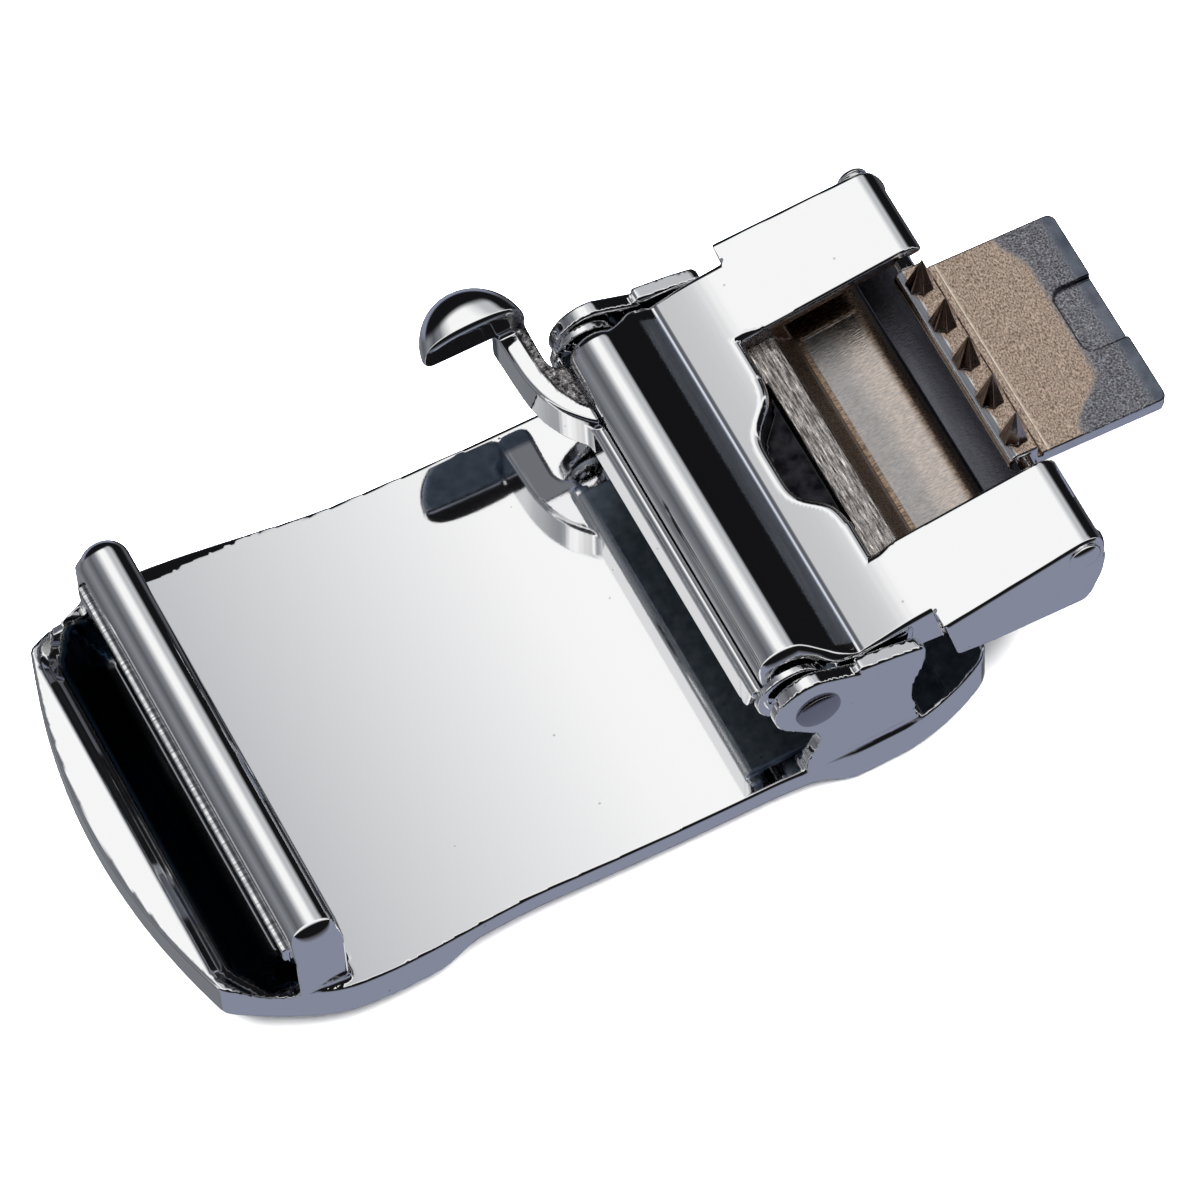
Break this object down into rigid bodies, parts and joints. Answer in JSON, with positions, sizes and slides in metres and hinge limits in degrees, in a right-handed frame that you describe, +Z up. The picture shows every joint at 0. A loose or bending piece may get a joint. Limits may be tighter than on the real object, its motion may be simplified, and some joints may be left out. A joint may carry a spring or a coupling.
{
  "type": "ratchet belt buckle",
  "caption": "Curved plate belt buckle with a fixed strap loop, hinged strap clamp, spiked clamp lid and a sprung release lever.",
  "frame": {"origin": "middle of the bounding box's underside, where the plate's curved front rests", "axes": "+X from the strap loop to the open lid, +Y across the strap to the knob's side, +Z up from the plate's front to its back"},
  "size_m": [0.0872, 0.045, 0.0219],
  "materials": {
    "polished_chrome": "bright chrome plate on a zinc casting",
    "dark_steel": "plain dark rivet steel",
    "satin_bronze": "thinly plated, satin and brownish"
  },
  "bodies": {
    "plate": {"front_plate": "polished_chrome", "hinge_pin": "dark_steel"},
    "clamp": {"clamp_body": "polished_chrome", "lid_pin": "polished_chrome"},
    "lever": {"release_lever": "polished_chrome"},
    "lid": {"lid": "satin_bronze"}
  },
  "joints": [
    {"name": "clamp_swing", "type": "hinge", "parent": "plate", "child": "clamp", "pos_m": [0.00839, -0.00248, 0.0137], "axis": [0, -1, 0], "range_deg": [-12, 52]},
    {"name": "lever_press", "type": "hinge", "parent": "clamp", "child": "lever", "pos_m": [0.00489, -0.00248, 0.0143], "axis": [0, -1, 0], "range_deg": [0, 6], "stiffness_Nm_per_rad": 0.03, "springref_deg": -17.19},
    {"name": "lid_turn", "type": "hinge", "parent": "clamp", "child": "lid", "pos_m": [0.03123, -0.00248, 0.01752], "axis": [0, -1, 0], "range_deg": [0, 191]}
  ]
}
